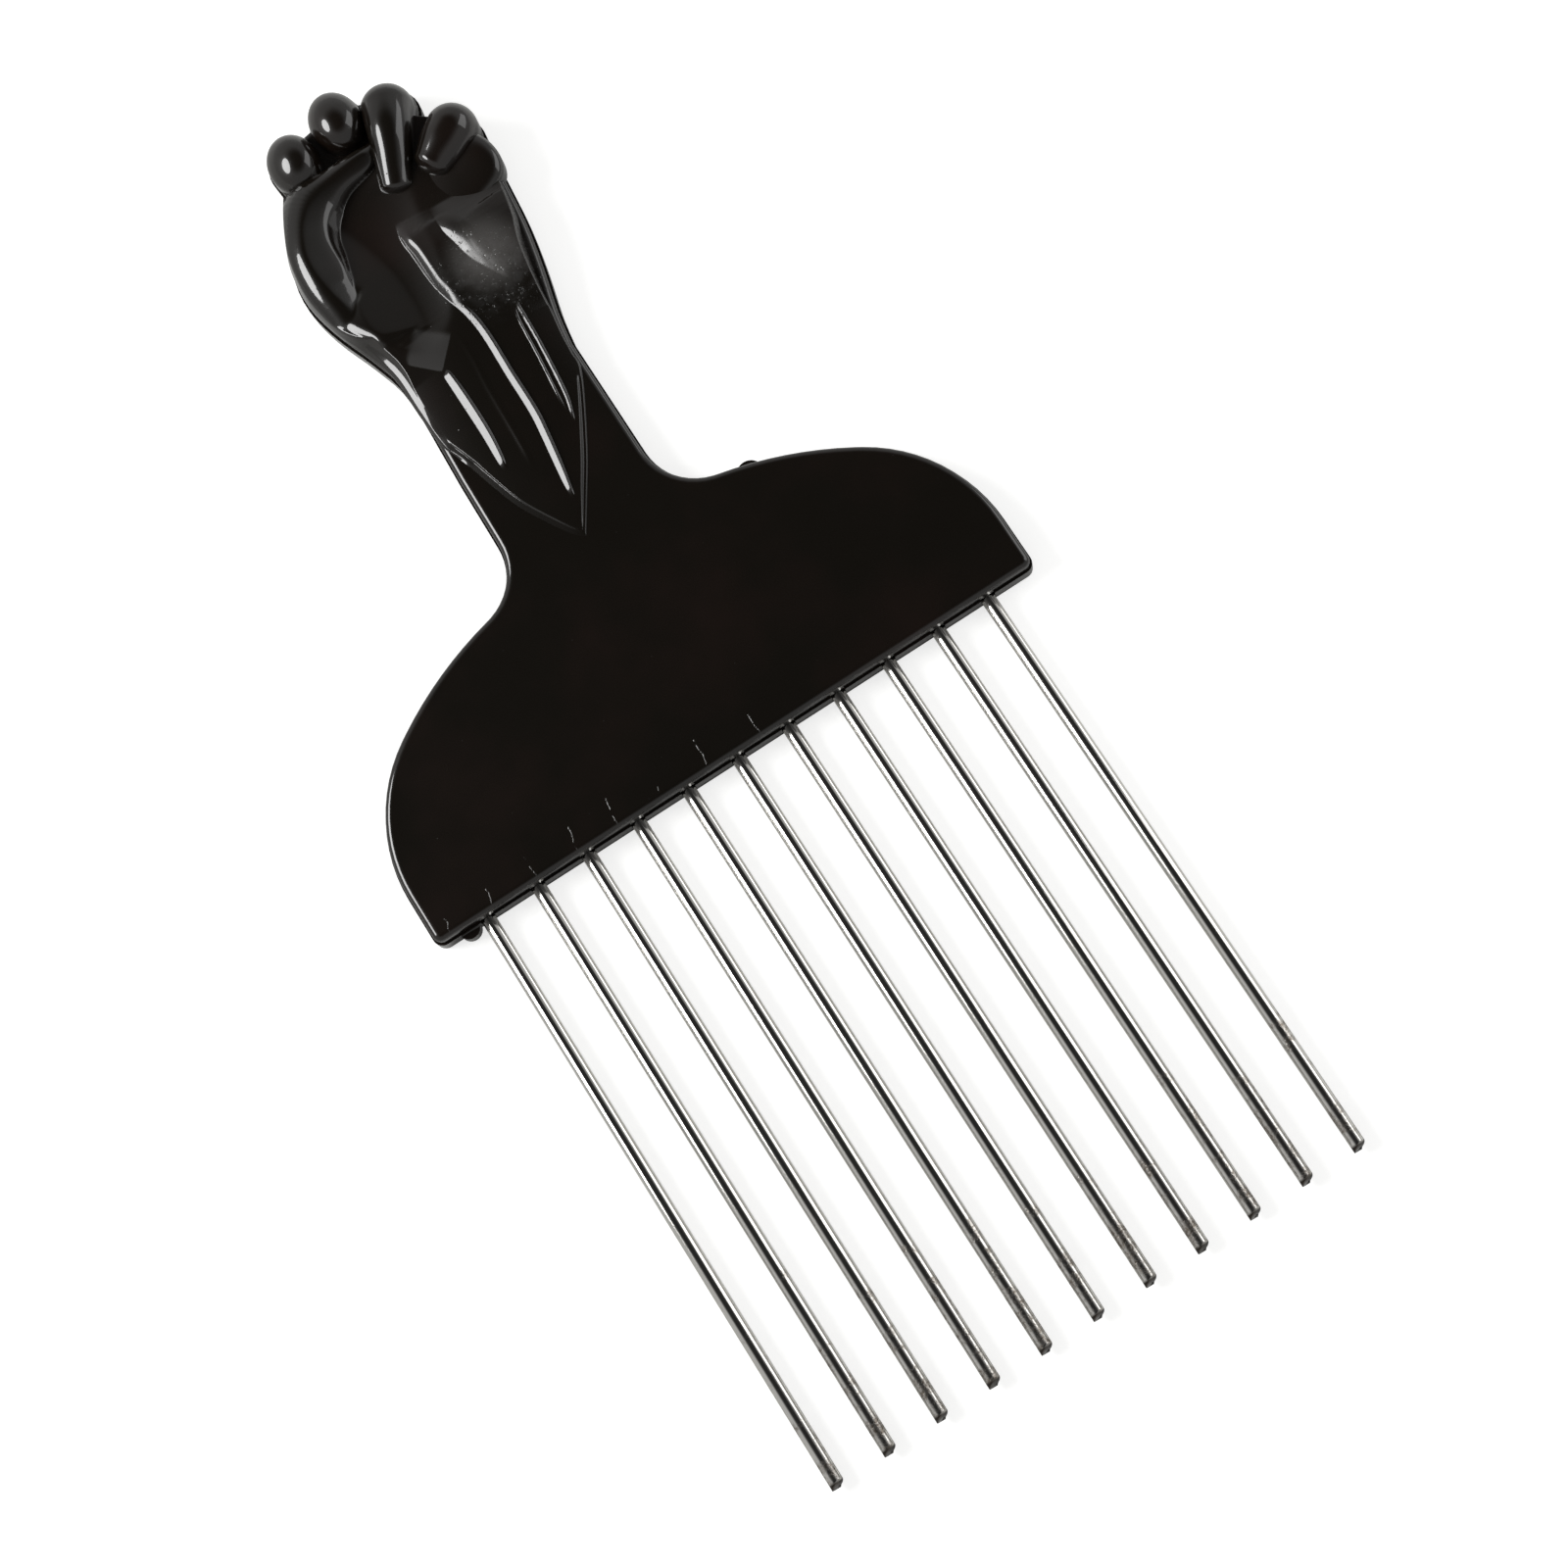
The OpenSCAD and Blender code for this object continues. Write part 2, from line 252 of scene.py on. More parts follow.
def mattPaper(v):
    # matt, and lifted to white for the camera by its own glow
    paper, tree = emptyMaterial("matt white paper")
    ray = addNode(tree, "LightPath")
    clearRay = addNode(tree, "Math", {"operation": "MAXIMUM"},
                       {0: ray.outputs["Is Camera Ray"], 1: ray.outputs["Is Transmission Ray"]})
    mirrored = addNode(tree, "Math", {"operation": "MULTIPLY", 1: v["mirrorGlow"]},
                       {0: ray.outputs["Is Glossy Ray"]})
    level = addNode(tree, "Math", {"operation": "MULTIPLY_ADD", 1: v["glow"]},
                    {0: clearRay.outputs[0], 2: mirrored.outputs[0]})
    glow = addNode(tree, "Emission", {"Color": (1, 1, 1, 1)}, {"Strength": level.outputs[0]})
    matt = addNode(tree, "BsdfDiffuse", {"Color": toLinear(v["paper"]), "Roughness": 1})
    both = addNode(tree, "AddShader", {}, {0: glow.outputs[0], 1: matt.outputs[0]})
    addNode(tree, "OutputMaterial", {}, {"Surface": both.outputs[0]})
    return paper


bpy.ops.mesh.primitive_plane_add(size=floorValues["size"], location=(0, 0, -floorValues["drop"] * mm))
floor = bpy.context.object
floor.name = "floor"
applyAll(floor)
floor.data.materials.append(mattPaper(floorValues))
print("floor laid")


# black moulded plastic: polystyrene from a polished mould, so a clear gloss over a near-black body,
# faint flow clouds, a slow ripple in the highlights, a grey haze on the wrist that is partly dust and
# partly a painted sheen around the highlight there, pits on the wrist and hairline scratches near the pins;
# sizes, depths and places are in mm

plasticValues = {
    "body": "#100d09", "cloud": "#160e0a", "cloudSize": 16, "cloudRange": (0.45, 0.75),
    "roughness": (0.25, 0.38), "hazeRange": (0.3, 0.8), "ior": 1.49, "bodyShine": 0.12,
    "coatRoughness": 0.07, "coatIor": 1.5,
    "rippleSize": 1.8, "rippleDepth": 0.0022, "grainSize": 0.16, "grainDepth": 0.0005,
    # the frosted patch on the wrist's mounds, full within the first reach and gone at the second
    "frostPlace": (7.0, 67.0, 6), "frostReach": (2.7, 9), "frostRoughness": 0.44,
    "patchSize": 1.3, "patchRange": (0.36, 0.60), "patchLeast": 0.4,
    # a grey haze over the frosted patch, partly dust and partly a painted sheen around the wrist's highlight,
    # with reaches of the same kind
    "dustAndSheen": "#454341", "dustAndSheenPlace": (7.6, 69.3, 6), "dustAndSheenReach": (1.26, 6.3),
    # pits that dust left in the mould, on the frosted patch; pitNone is the share that comes to nothing
    "pitEvery": 0.46, "pitBend": 0.45, "pitBendScale": 2.4, "pitNone": 0.12,
    "pitRadius": (0.02, 0.46), "pitWall": 0.35, "pitDepth": 0.05,
    # the matt wrist pad: its lowest corner, then where its edges begin and end
    "padFoot": (-4.75, 59.5), "padLow": (-0.1, 0.25), "padHigh": (5.8, 8.0),
    "padMiddle": (-4.4, 63.1, 0), "padReach": (3.0, 3.9), "padRoughness": 0.56,
    # raised specks all over
    "speckSize": 2.1, "speckRadius": 0.05, "speckHeight": 0.02,
    # hairline scratches above the pins, left of scratchLimit
    "scratchEvery": 6.2, "scratchPlace": (0.3, 0.7), "scratchLean": (-0.05, 0.32),
    "scratchWander": 0.7, "scratchWanderSize": 1.3, "scratchStart": 0.6, "scratchEnd": (1.8, 4.6),
    "scratchLimit": (7, 8), "scratchBroken": (0.36, 0.46), "scratchWidth": 0.07, "scratchDepth": 0.028,
}


def frostedPatch(tree, at, v):
    # 1 where the plastic is frosted, in soft patches
    away = addNode(tree, "VectorMath", {"operation": "DISTANCE", 1: v["frostPlace"]}, {0: at})
    near = addNode(tree, "MapRange", {**falling, **comesIn(v["frostReach"])},
                   {"Value": away.outputs["Value"]})
    patchy = addNode(tree, "TexNoise", {"Scale": 1 / v["patchSize"], "Detail": 4, "Roughness": 0.65},
                     {"Vector": at})
    some = addNode(tree, "MapRange", comesIn(v["patchRange"]), {"Value": patchy.outputs["Fac"]})
    least = addNode(tree, "Math", {"operation": "MULTIPLY_ADD", 1: 1 - v["patchLeast"], 2: v["patchLeast"]},
                    {0: some.outputs[0]})
    return addNode(tree, "Math", {"operation": "MULTIPLY"}, {0: near.outputs[0], 1: least.outputs[0]})


def wristPad(tree, at, split, v):
    # 1 on the pad, crisp along its two lower edges and fading upwards
    fromMiddle = addNode(tree, "Math", {"operation": "SUBTRACT", 1: v["padFoot"][0]}, {0: split.outputs["X"]})
    aside = addNode(tree, "Math", {"operation": "ABSOLUTE"}, {0: fromMiddle.outputs[0]})
    up = addNode(tree, "Math", {"operation": "SUBTRACT", 1: v["padFoot"][1]}, {0: split.outputs["Y"]})
    overEdge = addNode(tree, "Math", {"operation": "SUBTRACT"}, {0: up.outputs[0], 1: aside.outputs[0]})
    lower = addNode(tree, "MapRange", comesIn(v["padLow"]), {"Value": overEdge.outputs[0]})
    toTop = addNode(tree, "Math", {"operation": "ADD"}, {0: up.outputs[0], 1: aside.outputs[0]})
    upper = addNode(tree, "MapRange", {**falling, **comesIn(v["padHigh"])}, {"Value": toTop.outputs[0]})
    flat = addNode(tree, "VectorMath", {"operation": "MULTIPLY", 1: (1, 1, 0)}, {0: at})
    away = addNode(tree, "VectorMath", {"operation": "DISTANCE", 1: v["padMiddle"]}, {0: flat.outputs[0]})
    rounded = addNode(tree, "MapRange", {**falling, **comesIn(v["padReach"])},
                      {"Value": away.outputs["Value"]})
    above = addNode(tree, "Math", {"operation": "MULTIPLY"}, {0: upper.outputs[0], 1: rounded.outputs[0]})
    return addNode(tree, "Math", {"operation": "MULTIPLY"}, {0: lower.outputs[0], 1: above.outputs[0]})


def dustPits(tree, at, v):
    # 0 in the pits and 1 around them, each cell with a pit of its own size
    bend = addNode(tree, "TexNoise", {"Scale": v["pitBendScale"], "Detail": 2}, {"Vector": at})
    bent = addNode(tree, "VectorMath", {"operation": "MULTIPLY_ADD", 1: (v["pitBend"],) * 3},
                   {0: bend.outputs["Color"], 2: at})
    cell = addNode(tree, "TexVoronoi", {"Scale": 1 / v["pitEvery"], "Randomness": 1},
                   {"Vector": bent.outputs[0]})
    own = addNode(tree, "SeparateColor", {}, {0: cell.outputs["Color"]})
    radius = addNode(tree, "MapRange", {"From Min": v["pitNone"], **goesOut(v["pitRadius"])},
                     {"Value": own.outputs[0]})
    share = addNode(tree, "Math", {"operation": "DIVIDE"},
                    {0: cell.outputs["Distance"], 1: radius.outputs[0]})
    return addNode(tree, "MapRange", {**rising, "From Min": v["pitWall"], "From Max": 1},
                   {"Value": share.outputs[0]})


def scratches(tree, at, split, v):
    # one line in each lane of scratchEvery mm, with its own place, lean and length, and where it shows
    across = addNode(tree, "Math", {"operation": "DIVIDE", 1: v["scratchEvery"]}, {0: split.outputs["X"]})
    lane = addNode(tree, "Math", {"operation": "FLOOR"}, {0: across.outputs[0]})
    chance = addNode(tree, "TexWhiteNoise", {"noise_dimensions": "1D"}, {"W": lane.outputs[0]})
    each = addNode(tree, "SeparateColor", {}, {0: chance.outputs["Color"]})
    inLane = addNode(tree, "Math", {"operation": "FRACT"}, {0: across.outputs[0]})
    middle = addNode(tree, "MapRange", goesOut(v["scratchPlace"]), {"Value": each.outputs[0]})
    off = addNode(tree, "Math", {"operation": "SUBTRACT"}, {0: inLane.outputs[0], 1: middle.outputs[0]})
    offMm = addNode(tree, "Math", {"operation": "MULTIPLY", 1: v["scratchEvery"]}, {0: off.outputs[0]})
    lean = addNode(tree, "MapRange", goesOut(v["scratchLean"]), {"Value": each.outputs[1]})
    leaned = addNode(tree, "Math", {"operation": "MULTIPLY"}, {0: lean.outputs[0], 1: split.outputs["Y"]})
    wander = addNode(tree, "TexNoise", {"Scale": 1 / v["scratchWanderSize"], "Detail": 2}, {"Vector": at})
    wandered = addNode(tree, "Math", {"operation": "MULTIPLY_ADD", 1: v["scratchWander"]},
                       {0: wander.outputs["Fac"], 2: leaned.outputs[0]})
    gap = addNode(tree, "Math", {"operation": "SUBTRACT"}, {0: offMm.outputs[0], 1: wandered.outputs[0]})
    gapSize = addNode(tree, "Math", {"operation": "ABSOLUTE"}, {0: gap.outputs[0]})
    line = addNode(tree, "MapRange", {**falling, "From Min": 0, "From Max": v["scratchWidth"]},
                   {"Value": gapSize.outputs[0]})
    reach = addNode(tree, "MapRange", goesOut(v["scratchEnd"]), {"Value": each.outputs[2]})
    under = addNode(tree, "Math", {"operation": "LESS_THAN"}, {0: split.outputs["Y"], 1: reach.outputs[0]})
    over = addNode(tree, "Math", {"operation": "GREATER_THAN", 1: v["scratchStart"]}, {0: split.outputs["Y"]})
    leftSide = addNode(tree, "MapRange", {**comesIn(v["scratchLimit"]), **goesOut((1, 0))},
                       {"Value": split.outputs["X"]})
    banded = addNode(tree, "Math", {"operation": "MULTIPLY"}, {0: under.outputs[0], 1: over.outputs[0]})
    broken = addNode(tree, "MapRange", comesIn(v["scratchBroken"]), {"Value": wander.outputs["Fac"]})
    shown = addNode(tree, "Math", {"operation": "MULTIPLY"}, {0: banded.outputs[0], 1: broken.outputs[0]})
    where = addNode(tree, "Math", {"operation": "MULTIPLY"}, {0: shown.outputs[0], 1: leftSide.outputs[0]})
    return line, where


def blackPlastic(v):
    material, tree = emptyMaterial("black moulded polystyrene")
    at = placeInMm(tree)
    split = addNode(tree, "SeparateXYZ", {}, {0: at})
    frosted = frostedPatch(tree, at, v)

    cloud = addNode(tree, "TexNoise", {"Scale": 1 / v["cloudSize"], "Detail": 3, "Roughness": 0.55},
                    {"Vector": at})
    cloudy = addNode(tree, "MapRange", comesIn(v["cloudRange"]), {"Value": cloud.outputs["Fac"]})
    clouded = addNode(tree, "Mix", {"data_type": "RGBA", 6: toLinear(v["body"]), 7: toLinear(v["cloud"])},
                      {0: cloudy.outputs[0]})
    # the grey haze: dust, and a painted sheen that lightens the colour around the wrist's highlight
    dustAndSheenAway = addNode(tree, "VectorMath", {"operation": "DISTANCE", 1: v["dustAndSheenPlace"]}, {0: at})
    dustAndSheenShare = addNode(tree, "MapRange", {**falling, **comesIn(v["dustAndSheenReach"])},
                    {"Value": dustAndSheenAway.outputs["Value"]})
    colour = addNode(tree, "Mix", {"data_type": "RGBA", 7: toLinear(v["dustAndSheen"])},
                     {0: dustAndSheenShare.outputs[0], 6: clouded.outputs[2]})

    hazy = addNode(tree, "MapRange", {**comesIn(v["hazeRange"]), **goesOut(v["roughness"])},
                   {"Value": cloud.outputs["Fac"]})
    frostRough = addNode(tree, "MapRange", {"To Min": v["coatRoughness"], "To Max": v["frostRoughness"]},
                         {"Value": frosted.outputs[0]})
    pad = wristPad(tree, at, split, v)
    padRough = addNode(tree, "Math", {"operation": "MULTIPLY", 1: v["padRoughness"]}, {0: pad.outputs[0]})
    coatRough = addNode(tree, "Math", {"operation": "MAXIMUM"},
                        {0: frostRough.outputs[0], 1: padRough.outputs[0]})

    # from coarse to fine: ripple, mould grain, pits, raised specks, scratches
    ripple = addNode(tree, "TexNoise", {"Scale": 1 / v["rippleSize"], "Detail": 2}, {"Vector": at})
    rippled = addNode(tree, "Bump", {"Distance": v["rippleDepth"] * mm}, {"Height": ripple.outputs["Fac"]})
    grain = addNode(tree, "TexNoise", {"Scale": 1 / v["grainSize"], "Detail": 2}, {"Vector": at})
    grained = addNode(tree, "Bump", {"Distance": v["grainDepth"] * mm},
                      {"Height": grain.outputs["Fac"], "Normal": rippled.outputs[0]})
    pit = dustPits(tree, at, v)
    pitted = addNode(tree, "Bump", {"Distance": v["pitDepth"] * mm},
                     {"Height": pit.outputs[0], "Strength": frosted.outputs[0], "Normal": grained.outputs[0]})
    speckCell = addNode(tree, "TexVoronoi", {"Scale": 1 / v["speckSize"], "Randomness": 1}, {"Vector": at})
    speck = addNode(tree, "MapRange", {**falling, "From Min": 0, "From Max": v["speckRadius"]},
                    {"Value": speckCell.outputs["Distance"]})
    specked = addNode(tree, "Bump", {"Distance": v["speckHeight"] * mm},
                      {"Height": speck.outputs[0], "Normal": pitted.outputs[0]})
    line, where = scratches(tree, at, split, v)
    scratched = addNode(tree, "Bump", {"Distance": v["scratchDepth"] * mm},
                        {"Height": line.outputs[0], "Strength": where.outputs[0],
                         "Normal": specked.outputs[0]})

    shader = addNode(tree, "BsdfPrincipled", {
        "IOR": v["ior"], "Specular IOR Level": v["bodyShine"], "Coat Weight": 1, "Coat IOR": v["coatIor"]},
                     {"Base Color": colour.outputs[2], "Roughness": hazy.outputs[0],
                      "Coat Roughness": coatRough.outputs[0],
                      "Normal": scratched.outputs[0], "Coat Normal": scratched.outputs[0]})
    addNode(tree, "OutputMaterial", {}, {"Surface": shader.outputs[0]})
    return material


plastic = blackPlastic(plasticValues)


# drawn steel wire with a thin nickel plate: fine lines along the pin, worn and pitted towards the tips,
# and dark where the cut end has no plate on it; sizes and places are in mm

steelValues = {
    "bright": "#dfddd8", "worn": "#7a7167", "cut": "#3a3530", "roughness": 0.11, "wornRoughness": 0.32,
    "lineWidth": 0.10, "lineLength": 9, "lineDepth": 0.0008,
    # wear comes in patches, which grow from wearStart to wearEnd; wearLess is taken off all along the pin
    "wearStart": -46, "wearEnd": -74, "wearGrowth": 0.27, "wearLess": 0.24,
    "wearSize": 2.6, "wearRange": (0.42, 0.62),
    # pitDark is the worn colour's share in a pit, pitLight how much smaller it is around one
    "pitSize": 0.34, "pitRange": (0.40, 0.56), "pitDepth": 0.012, "pitDark": 0.95, "pitLight": 0.35,
    "cutStart": -76.45, "cutEnd": -76.75,
}


def drawnSteel(v):
    material, tree = emptyMaterial("drawn nickel plated steel")
    at = placeInMm(tree)
    split = addNode(tree, "SeparateXYZ", {}, {0: at})

    thin = 1 / v["lineWidth"]
    drawn = addNode(tree, "Mapping", {"Scale": (thin, 1 / v["lineLength"], thin)}, {"Vector": at})
    lines = addNode(tree, "TexNoise", {"Scale": 1, "Detail": 3, "Roughness": 0.6},
                    {"Vector": drawn.outputs[0]})
    lined = addNode(tree, "Bump", {"Distance": v["lineDepth"] * mm}, {"Height": lines.outputs["Fac"]})

    toTip = addNode(tree, "MapRange", {"From Min": v["wearStart"], "From Max": v["wearEnd"]},
                    {"Value": split.outputs["Y"]})
    patch = addNode(tree, "TexNoise", {"Scale": 1 / v["wearSize"], "Detail": 4, "Roughness": 0.65},
                    {"Vector": at})
    wornMore = addNode(tree, "Math", {"operation": "MULTIPLY_ADD", 1: v["wearGrowth"], 2: -v["wearLess"]},
                       {0: toTip.outputs[0]})
    wornSum = addNode(tree, "Math", {"operation": "ADD"}, {0: wornMore.outputs[0], 1: patch.outputs["Fac"]})
    worn = addNode(tree, "MapRange", {**rising, **comesIn(v["wearRange"])}, {"Value": wornSum.outputs[0]})

    spot = addNode(tree, "TexNoise", {"Scale": 1 / v["pitSize"], "Detail": 2, "Roughness": 0.5},
                   {"Vector": at})
    pit = addNode(tree, "MapRange", {**rising, **comesIn(v["pitRange"])}, {"Value": spot.outputs["Fac"]})
    pitted = addNode(tree, "Bump", {"Distance": v["pitDepth"] * mm},
                     {"Height": pit.outputs[0], "Strength": worn.outputs[0], "Normal": lined.outputs[0]})
    dark = addNode(tree, "Math", {"operation": "MULTIPLY_ADD", 1: -v["pitLight"], 2: v["pitDark"]},
                   {0: pit.outputs[0]})
    darker = addNode(tree, "Math", {"operation": "MULTIPLY"}, {0: dark.outputs[0], 1: worn.outputs[0]})
    plated = addNode(tree, "Mix", {"data_type": "RGBA", 6: toLinear(v["bright"]), 7: toLinear(v["worn"])},
                     {0: darker.outputs[0]})
    cut = addNode(tree, "MapRange", {"From Min": v["cutStart"], "From Max": v["cutEnd"]},
                  {"Value": split.outputs["Y"]})
    colour = addNode(tree, "Mix", {"data_type": "RGBA", 7: toLinear(v["cut"])},
                     {0: cut.outputs[0], 6: plated.outputs[2]})
    rough = addNode(tree, "MapRange", {"To Min": v["roughness"], "To Max": v["wornRoughness"]},
                    {"Value": worn.outputs[0]})
    shader = addNode(tree, "BsdfPrincipled", {"Metallic": 1},
                     {"Base Color": colour.outputs[2], "Roughness": rough.outputs[0],
                      "Normal": pitted.outputs[0]})
    addNode(tree, "OutputMaterial", {}, {"Surface": shader.outputs[0]})
    return material


steel = drawnSteel(steelValues)
print("materials mixed")


# pins: straight wire, cut aslant and deburred at the tip, pinched flat at the root

pinValues = {
    "count": 11, "pitch": 7, "height": 1.45, "radius": 0.9, "sides": 40, "reach": 77.3, "hold": 14,
    "rootLength": 3, "rootWidth": 2.6, "rootThickness": 1.1, "waist": 0.5, "rootRound": 0.06,
    "cutLean": (0.26, -0.93, 0.26), "cutBack": 0.3, "rim": 0.2, "sharpFrom": 50, "smoothAngle": 30,
}


def makePin(v):
    bpy.ops.object.select_all(action="DESELECT")
    rootStart = (v["hold"] - v["rootLength"]) * mm
    wire = (v["reach"] + v["hold"] - v["rootLength"]) * mm
    bpy.ops.mesh.primitive_cylinder_add(
        vertices=v["sides"], radius=v["radius"] * mm, depth=wire,
        rotation=(math.radians(90), 0, 0), location=(0, rootStart - wire / 2, 0))
    pin = bpy.context.object
    applyAll(pin)
    # the slanted cut, capped, then its rim rounded
    bpy.ops.object.mode_set(mode="EDIT")
    bpy.ops.mesh.select_all(action="SELECT")
    lean = Vector(v["cutLean"]).normalized()
    tip = Vector((0, -v["reach"] + v["cutBack"], 0)) * mm
    bpy.ops.mesh.bisect(plane_co=tip, plane_no=lean, use_fill=True, clear_outer=True)
    bpy.ops.object.mode_set(mode="OBJECT")
    selectWhere(pin, "edges", lambda a, b: max(abs((p - tip).dot(lean)) for p in (a, b)) < hair)
    bpy.ops.mesh.bevel(offset=v["rim"] * mm, segments=3)
    bpy.ops.object.mode_set(mode="OBJECT")
    # the root: the end face drawn in to a waist, then out into the pinched blade
    selectWhere(pin, "faces", lambda c, n: n.y > squareOn and abs(c.y - rootStart) < hair)
    flat = (v["rootWidth"] / 2 / v["radius"], 1, v["rootThickness"] / 2 / v["radius"])
    blade = (v["rootLength"] - v["waist"]) * mm
    bpy.ops.mesh.extrude_region_move(TRANSFORM_OT_translate={"value": (0, v["waist"] * mm, 0)})
    bpy.ops.transform.resize(value=flat)
    bpy.ops.mesh.extrude_region_move(TRANSFORM_OT_translate={"value": (0, blade, 0)})
    pickOnly(pin)
    bevel = pin.modifiers.new("rootRound", "BEVEL")
    bevel.width = v["rootRound"] * mm
    bevel.segments = 2
    bevel.limit_method = "ANGLE"
    bevel.angle_limit = math.radians(v["sharpFrom"])
    bpy.ops.object.modifier_apply(modifier=bevel.name)
    return pin


def makePins(v):
    # the pin made first becomes the last of the row, the others are its copies
    last = makePin(v)
    pins = [last.copy() for _ in range(v["count"] - 1)] + [last]
    for one in pins[:-1]:
        one.data = last.data.copy()
        bpy.context.scene.collection.objects.link(one)
    for i, one in enumerate(pins):
        one.name = one.data.name = "pinWire%02d" % (i + 1)
        one.location = ((i - (v["count"] - 1) / 2) * v["pitch"] * mm, pinEdge, v["height"] * mm)
        applyAll(one)
        finishPiece(one, steel, ["pin_%02d" % (i + 1)], v["smoothAngle"])
    return pins


pins = makePins(pinValues)
print("pins made:", len(pins))


# rear half: the moulding under the ledge, with its channels, sockets, runner stub and gate bead;
# its underside gets the rounded edge that the mould leaves

rearValues = {"edgeRound": 0.35, "flatWithin": 0.5, "smoothAngle": 32}


def makeRearHalf(v):
    rear = copyOf("rear_half", "rearHalf")
    selectWhere(rear, "faces", lambda c, n: True)
    bpy.ops.mesh.dissolve_limited(angle_limit=math.radians(v["flatWithin"]))
    bpy.ops.object.mode_set(mode="OBJECT")
    selectWhere(rear, "edges", lambda a, b: a.z < hair and b.z < hair)
    bpy.ops.mesh.bevel(offset=v["edgeRound"] * mm, segments=3)
    bpy.ops.object.mode_set(mode="OBJECT")
    finishPiece(rear, plastic, ["rear_half"], v["smoothAngle"])


makeRearHalf(rearValues)
print("rear half made")


# front half: the plate comes from the rear half's outline, drawn in by the ledge and rounded off at the top

plateValues = {
    "bottom": 2.4, "top": 4.2, "roundWide": 0.9, "roundDeep": 0.75, "roundSteps": 7, "rest": 0.04,
    "flatWithin": 0.2, "smoothAngle": 35,
}


def makePlate(v):
    plate = copyOf("rear_half", "frontHalf")
    selectWhere(plate, "faces", lambda c, n: not (c.z < hair and n.z < -squareOn))
    bpy.ops.mesh.delete(type="FACE")
    bpy.ops.mesh.select_all(action="SELECT")
    bpy.ops.mesh.dissolve_limited(angle_limit=math.radians(v["flatWithin"]))
    bpy.ops.mesh.select_all(action="SELECT")
    bpy.ops.transform.translate(value=(0, 0, v["bottom"] * mm))
    bpy.ops.mesh.inset(thickness=ledge, use_boundary=True, use_even_offset=True)
    bpy.ops.object.mode_set(mode="OBJECT")
    # only the inner face is kept, then raised and rounded at its edge in steps
    middle = max(plate.data.polygons, key=lambda f: f.area).center.copy()
    selectWhere(plate, "faces", lambda c, n: c != middle)
    bpy.ops.mesh.delete(type="FACE")
    bpy.ops.mesh.select_all(action="SELECT")
    wall = (v["top"] - v["bottom"] - v["roundDeep"]) * mm
    bpy.ops.mesh.extrude_region_move(TRANSFORM_OT_translate={"value": (0, 0, wall)})
    angles = [math.radians(90 * k / v["roundSteps"]) for k in range(v["roundSteps"] + 1)]
    for a, b in zip(angles, angles[1:]):
        inward = v["roundWide"] * (math.cos(a) - math.cos(b)) * mm
        bpy.ops.mesh.inset(thickness=inward, use_even_offset=True)
        bpy.ops.transform.translate(value=(0, 0, v["roundDeep"] * (math.sin(b) - math.sin(a)) * mm))
    bpy.ops.mesh.inset(thickness=v["rest"] * mm, use_even_offset=True)
    facesOut()
    return plate


plate = makePlate(plateValues)
print("plate made:", len(plate.data.polygons), "faces")


# forearm and palm: one fine grid between the relief's two edges, raised by the shapes carved in it;
# every list is X and Y in mm, then heights over the table, unless a note says otherwise

